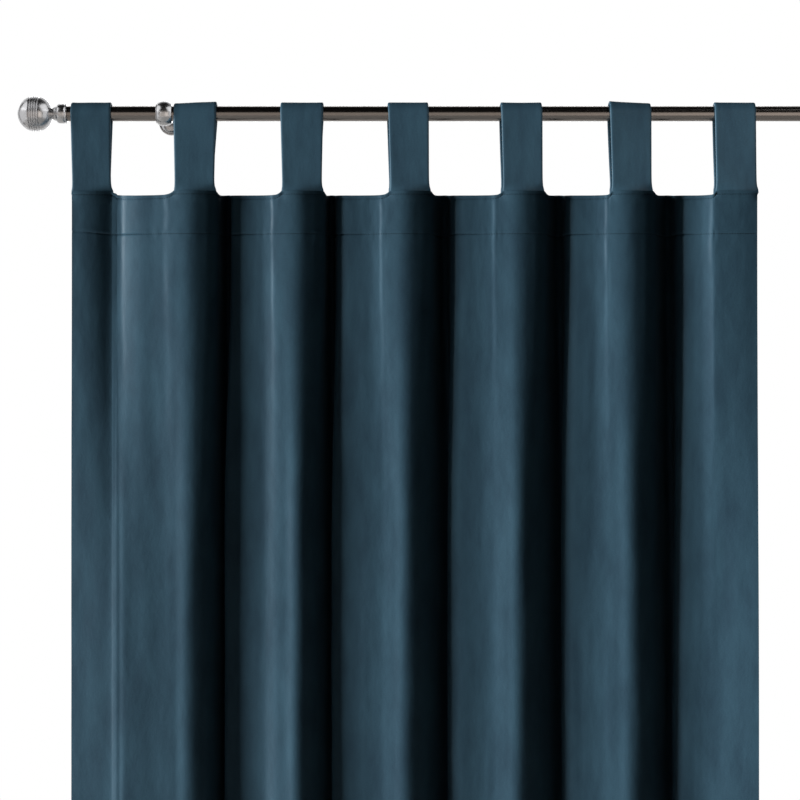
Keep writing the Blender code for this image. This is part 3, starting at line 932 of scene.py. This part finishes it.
# Shares of a stitch's length and of its radius
SPINDLE = ((0.0, 0.35), (0.2, 0.95), (0.5, 1.0), (0.8, 0.95), (1.0, 0.35))


def stitch_places(line):
    """Pairs of points along a line, one stitch apart."""
    at, places, wanted, start = 0.0, [], FIRST_STITCH, None
    for a, b in zip(line, line[1:]):
        step = (b - a).length
        while wanted <= at + step:
            point = a.lerp(b, (wanted - at) / step)
            if start is None:
                start, wanted = point, wanted + STITCH
            else:
                places.append((start, point))
                start, wanted = None, wanted + STITCH_GAP
        at += step
    return places


def sew(name, lines):
    """A piece with a spindle of thread at each stitch of each line, given by its heights."""
    points, faces, flat = [], [], []
    for height_of in lines:
        for start, end in stitch_places(cloth_row(height_of, CLOTH_THICK + THREAD_PROUD)[0]):
            ahead = (end - start).normalized()
            side = ahead.cross(Vector((0, 0, 1))).normalized()
            up = side.cross(ahead)
            faces += tube_faces(len(SPINDLE), THREAD_SIDES, len(points))
            for share, size in SPINDLE:
                middle = start.lerp(end, share) - side * (DIVE if share in (0.0, 1.0) else 0.0)
                for turn in range(THREAD_SIDES):
                    angle = 2 * math.pi * turn / THREAD_SIDES
                    out = side * math.cos(angle) + up * math.sin(angle)
                    points.append(middle + out * THREAD_RADIUS * size)
                    flat.append((turn * THREAD_SIDE, share * STITCH))
    stitches = new_piece(name, points, faces, shade_darkened_thread, flat)
    face_outwards(stitches)
    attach(stitches, "root")
    return stitches


# The dark stitch lines are painted shade from the thread's colour, added to the furrow's real
# relief.
heading_stitches = sew("heading_stitches",
                       (topstitch_z, lambda index: top_edge[index] - EDGE_STITCH))
foot_stitches = sew("foot_hem_stitches", (lambda index: HEM_Z + FOOT_HEM,))
print("stitches:", triangles(heading_stitches) + triangles(foot_stitches), "triangles")

# %% [markdown]
# ## Turned metal
# A turned piece is shaped on a lathe, so its whole form is one profile. Here a disc is the start,
# and each step pulls its face along the axis and resizes it to the profile's next radius. That is
# how it would be done by hand with extrude and scale. The disc that is left closes the far end.

# %% Functions for turned pieces
TURN_SIDES = 96
TURNS = {"X": (0, math.pi / 2, 0), "-X": (0, -math.pi / 2, 0), "-Y": (math.pi / 2, 0, 0)}
WAYS = {"X": Vector((1, 0, 0)), "-X": Vector((-1, 0, 0)), "-Y": Vector((0, -1, 0))}
TURNED_SHARP = math.radians(35)      # an edge that turns more than this stays sharp
SAME = 1e-7                          # metres, under which two radii are one


def rows_from(start, rows):
    """A profile in metres from rows of (height, radius) in mm, its heights from a start."""
    return [(start + height * MM, radius * MM) for height, radius in rows]


def turn_piece(name, centre, axis, profile, material, ring=False, sides=TURN_SIDES):
    """Shapes a disc or, for a bored piece, an open ring by extruding and resizing its edge."""
    way = WAYS[axis]
    height, radius = profile[0]
    bpy.ops.object.select_all(action="DESELECT")
    bpy.ops.mesh.primitive_circle_add(vertices=sides, radius=radius, rotation=TURNS[axis],
                                      fill_type="NOTHING" if ring else "NGON",
                                      location=Vector(centre) + way * height)
    piece = bpy.context.object
    piece.name = name
    piece.data.name = name
    bpy.ops.object.mode_set(mode="EDIT")
    bpy.ops.mesh.select_all(action="SELECT")
    for (height, radius), (next_height, next_radius) in zip(profile, profile[1:]):
        bpy.ops.mesh.extrude_region_move(
            TRANSFORM_OT_translate={"value": way * (next_height - height)})
        if abs(next_radius - radius) > SAME:
            grow = next_radius / radius
            bpy.ops.transform.resize(value=[1 if way[a] else grow for a in range(3)],
                                     center_override=Vector(centre) + way * next_height)
    bpy.ops.mesh.select_all(action="SELECT")
    bpy.ops.mesh.remove_doubles(threshold=0.00001)
    bpy.ops.mesh.normals_make_consistent(inside=False)
    bpy.ops.object.mode_set(mode="OBJECT")
    bpy.ops.object.transform_apply(location=True, rotation=True, scale=True)
    bpy.ops.object.shade_smooth_by_angle(angle=TURNED_SHARP)
    piece.data.materials.append(material)
    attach(piece, "root")
    return piece


print("turned pieces have", TURN_SIDES, "sides, or one to each",
      round(2 * math.pi * ROD_RADIUS / TURN_SIDES / MM, 2), "mm round the rod")

# %% [markdown]
# ## The rod
# The rod is a steel tube. Its two ends are hidden in the finials' cups. A plain cylinder would look
# the same from far off, but a profile also gives the chamfered ends and the hollow inside them.

# %% Make the rod
TUBE_WALL = 1 * MM
HOLLOW = 30 * MM                     # how far in from each end the tube is shaped hollow
CHAMFER = 0.3 * MM
rod_length = rod_high[0] - rod_low[0]
bore = ROD_RADIUS - TUBE_WALL
rod = turn_piece("steel_rod", (rod_low[0], ROD_Y, ROD_Z), "X", (
    (HOLLOW, bore), (0, bore), (0, ROD_RADIUS - CHAMFER), (CHAMFER, ROD_RADIUS),
    (rod_length / 2, ROD_RADIUS), (rod_length - CHAMFER, ROD_RADIUS),
    (rod_length, ROD_RADIUS - CHAMFER), (rod_length, bore), (rod_length - HOLLOW, bore)), rod_metal)
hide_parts("rod")
print("rod:", round(rod_length, 3), "m,", triangles(rod), "triangles")

# %% [markdown]
# ## The finials
# Each finial is turned from one piece: a cup that takes the rod's end, with a bead at its lip, a
# waisted neck, and a ball with five fine grooves cut round its middle.

# %% Make the finials
BALL_RADIUS = 25.9 * MM
BALL_TO_LIP = 46.8 * MM
BALL_STEPS = 14                      # from the grooves to the neck, and to the pole
POLE = 0.01 * MM                     # the ball stops this short, so that its last disc has a size
GROOVES = 5
GROOVE_PITCH = 3.4 * MM
GROOVE_WIDTH = 0.7 * MM
GROOVE_DEPTH = 1.7 * MM
GROOVE_STEP = 0.34 * MM
NECK_RADIUS = 8.2 * MM
FITTED = ROD_RADIUS + 0.3 * MM       # the radius of a bore round the rod
CUP_BORE = 9 * MM
# Heights from the cup's lip and radii, in mm
CUP = ((0, 12.9), (0.5, 13.8), (1.6, 14.2), (2.7, 13.8), (3.2, 13.3), (3.9, 13.9), (5.0, 14.2),
       (10.5, 14.1), (13.0, 13.7), (14.6, 12.6), (15.2, 11.2), (16.4, 10.4), (18.4, 9.7),
       (20.2, 9.0), (21.4, 8.3))


def ball_radius(x):
    """The ball's radius at a distance from its centre, with the grooves cut in."""
    grooves = [(groove - (GROOVES - 1) / 2) * GROOVE_PITCH for groove in range(GROOVES)]
    return ((BALL_RADIUS ** 2 - x * x) ** 0.5
            - GROOVE_DEPTH * sum(hump(x - groove, GROOVE_WIDTH) for groove in grooves))


def ball_profile():
    """Heights and radii over the ball, finely spaced across the grooves."""
    neck_x = -(BALL_RADIUS ** 2 - NECK_RADIUS ** 2) ** 0.5
    grooved = (GROOVES + 1) / 2 * GROOVE_PITCH
    heights = [neck_x + (-grooved - neck_x) * step / BALL_STEPS for step in range(BALL_STEPS)]
    fine = round(2 * grooved / GROOVE_STEP)
    heights += [-grooved + 2 * grooved * step / fine for step in range(fine + 1)]
    for step in range(1, BALL_STEPS + 1):
        angle = math.acos(grooved / BALL_RADIUS) * (1 - step / BALL_STEPS)
        heights.append(BALL_RADIUS * math.cos(angle))
    heights[-1] -= POLE
    return [(x, ball_radius(x)) for x in heights]


lip = -BALL_TO_LIP
finial_profile = ([(lip + CUP_BORE, FITTED), (lip, FITTED)] + rows_from(lip, CUP)
                  + ball_profile())
for side, axis in (("left", "-X"), ("right", "X")):
    low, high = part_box(f"finial_{side}")
    ball_x = low[0] + BALL_RADIUS if side == "left" else high[0] - BALL_RADIUS
    finial = turn_piece(f"ball_finial_{side}", (ball_x, ROD_Y, ROD_Z), axis, finial_profile,
                        fitting_metal)
    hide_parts(f"finial_{side}")
print("finials:", triangles(finial), "triangles each")

# %% [markdown]
# ## The brackets
# A bracket is a round stepped rose on the wall, a plain arm, and a barrel collar that the rod
# passes through. The collar swells in its middle and has a fine ring at its outer end. All three
# are turned pieces. The collar starts from an open ring and ends where it began, round its bore.

# %% Make the brackets
COLLAR_RADIUS = 18.2 * MM
COLLAR_END = 13.9 * MM
COLLAR_HALF = 11.5 * MM
COLLAR_CURVE = 2.2                   # a higher power makes the barrel straighter in its middle
COLLAR_STEPS = 24
RING_WIDE = 2.4 * MM
# Heights and radii in mm: the ring's from its face, and the rose's from the wall
RING = ((0, 13.2), (0.4, 13.8), (1.1, 14.0), (1.8, 13.6), (2.1, 13.3))
ROSE = ((0, 19), (1.6, 19), (2.4, 18.6), (2.8, 17.8), (2.9, 16.6), (2.7, 16.2), (3.0, 15.8),
        (4.2, 15.2), (5.4, 13.4), (6.3, 10.6), (6.8, 7.9), (7.0, 6.7), (7.0, 5.5))
ARM_RADIUS = 5.5 * MM
ARM_SIDES = 48
ARM_INTO = 1.1 * MM                  # so that the arm meets the collar's curve all round


def collar_profile():
    """A fine ring, then a barrel, then back through the bore."""
    start, wide = RING_WIDE - COLLAR_HALF, 2 * COLLAR_HALF - RING_WIDE
    places = [start + wide * step / COLLAR_STEPS for step in range(COLLAR_STEPS + 1)]
    fall = COLLAR_RADIUS - COLLAR_END
    barrel = [(x, COLLAR_RADIUS - fall * (abs(x) / COLLAR_HALF) ** COLLAR_CURVE) for x in places]
    return ([(-COLLAR_HALF, FITTED)] + rows_from(-COLLAR_HALF, RING) + barrel
            + [(COLLAR_HALF, FITTED), (-COLLAR_HALF, FITTED)])


def arm_profile(start, end):
    """A straight bar of one radius, with extra rows near its two ends."""
    heights = (start, start + 1.2 * MM, start + 20 * MM, end - 14 * MM, end - 6 * MM, end)
    return [(height, ARM_RADIUS) for height in heights]


for side, axis in (("left", "X"), ("right", "-X")):
    low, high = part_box(f"bracket_collar_{side}")
    x = (low[0] + high[0]) / 2
    collar = turn_piece(f"barrel_collar_{side}", (x, ROD_Y, ROD_Z), axis, collar_profile(),
                        fitting_metal, ring=True)
    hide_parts(f"bracket_collar_{side}")
    rose = turn_piece(f"rose_{side}", (x, 0, ROD_Z), "-Y", rows_from(0.0, ROSE), fitting_metal)
    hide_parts(f"wall_rose_{side}")
    arm_start = -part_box(f"bracket_arm_{side}")[1][1]
    arm = turn_piece(f"arm_{side}", (x, 0, ROD_Z), "-Y",
                     arm_profile(arm_start, -ROD_Y - COLLAR_RADIUS + ARM_INTO), fitting_metal,
                     sides=ARM_SIDES)
    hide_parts(f"bracket_arm_{side}")
print("bracket:", sum(triangles(p) for p in (collar, rose, arm)), "triangles")

# %% [markdown]
# ## The sheets of cloth
# The curtain cloth, the facing and the tabs make up the sheets, and they are counted.

print("declared", 2 + len(tabs), "sheets")

# %% [markdown]
# ## Floor and world
# The curtain hangs over a plain pale floor. The photograph has a pure white ground, so the world
# is white where the camera looks straight at it, and gives no light itself.

# %% Lay the floor
FLOOR_SIZE = 8.0
FLOOR_BELOW = 20 * MM                # under the hem
bpy.ops.object.select_all(action="DESELECT")
bpy.ops.mesh.primitive_plane_add(size=FLOOR_SIZE, location=(0.35, 0, HEM_Z - FLOOR_BELOW))
floor = bpy.context.object
floor.name = "floor"
paint, _, _ = new_material("pale matt floor", {"Base Color": linear("e6e4e0"), "Roughness": 0.9})
floor.data.materials.append(paint)
print("floor at z", round(HEM_Z - FLOOR_BELOW, 3))

# %% Make the world
world = bpy.data.worlds.new("studio")
world.use_nodes = True
bpy.context.scene.world = world
tree = world.node_tree
for old in list(tree.nodes):
    tree.nodes.remove(old)
seen = add_node(tree, "ShaderNodeLightPath")
ground = add_node(tree, "ShaderNodeBackground", {"Color": (1, 1, 1, 1), "Strength": 1.0})
dark = add_node(tree, "ShaderNodeBackground", {"Strength": 0.0})
mixed = add_node(tree, "ShaderNodeMixShader", None,
                 {0: seen.outputs["Is Camera Ray"], 1: dark.outputs[0], 2: ground.outputs[0]})
add_node(tree, "ShaderNodeOutputWorld", None, {"Surface": mixed.outputs[0]})
bpy.context.scene.view_settings.view_transform = "Standard"
print("world has", len(tree.nodes), "nodes")

# %% [markdown]
# ## Lights
# The photograph has black valleys beside softly lit folds. So one large far lamp rakes across the
# cloth from the left, about 80 degrees from the front, and a weak one fills the shadows. The tabs
# are as bright at the right as at the left, so a small lamp from the right reaches only them.
# Polished metal shows what stands around it, so the rod and its fittings get panels of their own,
# which light linking keeps off the cloth: warm ones in front and below, white ones at the sides,
# above and behind. The rod's upper half faces none of them and stays dark.

# %% Light the studio
def add_light(name, place, aim, size, power, colour="ffffff", reaches=None):
    """A rectangular soft light that shines from its place towards a point."""
    lamp = bpy.data.lights.new(name, "AREA")
    lamp.shape = "RECTANGLE"
    lamp.size, lamp.size_y = size
    lamp.energy = power
    lamp.color = linear(colour)[:3]
    light = bpy.data.objects.new(name, lamp)
    bpy.context.scene.collection.objects.link(light)
    light.location = place
    light.rotation_euler = (Vector(aim) - Vector(place)).to_track_quat("-Z", "Y").to_euler()
    light.visible_camera = False
    if reaches:
        light.light_linking.receiver_collection = reaches
    return light


metal_pieces = bpy.data.collections.new("metal pieces")
other_pieces = bpy.data.collections.new("other pieces")
tab_pieces = bpy.data.collections.new("tab pieces")
for tab in tabs:
    tab_pieces.objects.link(tab)
for piece in bpy.context.scene.objects:
    if piece.type == "MESH" and piece.data.materials:
        metal = piece.data.materials[0] in (rod_metal, fitting_metal)
        (metal_pieces if metal else other_pieces).objects.link(piece)

middle = (0.36, ROD_Y, -0.55)
tab_middle = (0.36, ROD_Y, -0.06)
rod_middle = (0.4, ROD_Y, ROD_Z)
add_light("raking", (-24.4, -4.47, 0.2), middle, (5.4, 11.4), 19500, reaches=other_pieces)
add_light("front fill", (-3.4, -6.2, 0.4), middle, (2.2, 2.2), 7)
add_light("behind", (0.4, 4.0, 0.8), middle, (2.5, 2.0), 60)
add_light("on the tabs", (2.4, -2.6, 0.6), tab_middle, (1.2, 1.2), 42, reaches=tab_pieces)
for name, place, size, power, colour in (
        ("front panel", (0.4, -4.5, -1.25), (9.0, 4.5), 64, "fff4ea"),
        ("right panel", (2.9, -4.4, -1.25), (3.6, 4.5), 22, "fff4ea"),
        ("left wall", (-4.5, -0.6, -0.4), (6.0, 5.0), 70, "ffffff"),
        ("right wall", (5.5, -0.6, -0.4), (6.0, 5.0), 70, "ffffff"),
        ("left high", (-3.4, -1.2, 2.6), (4.5, 3.2), 48, "ffffff"),
        ("right high", (3.6, -1.2, 2.6), (4.5, 3.2), 48, "ffffff"),
        ("backdrop", (0.4, 3.6, -0.4), (11.0, 4.5), 110, "ffffff"),
        ("high back", (0.4, 3.2, 2.4), (9.0, 3.5), 70, "ffffff")):
    add_light(name, place, rod_middle, size, power, colour, metal_pieces)
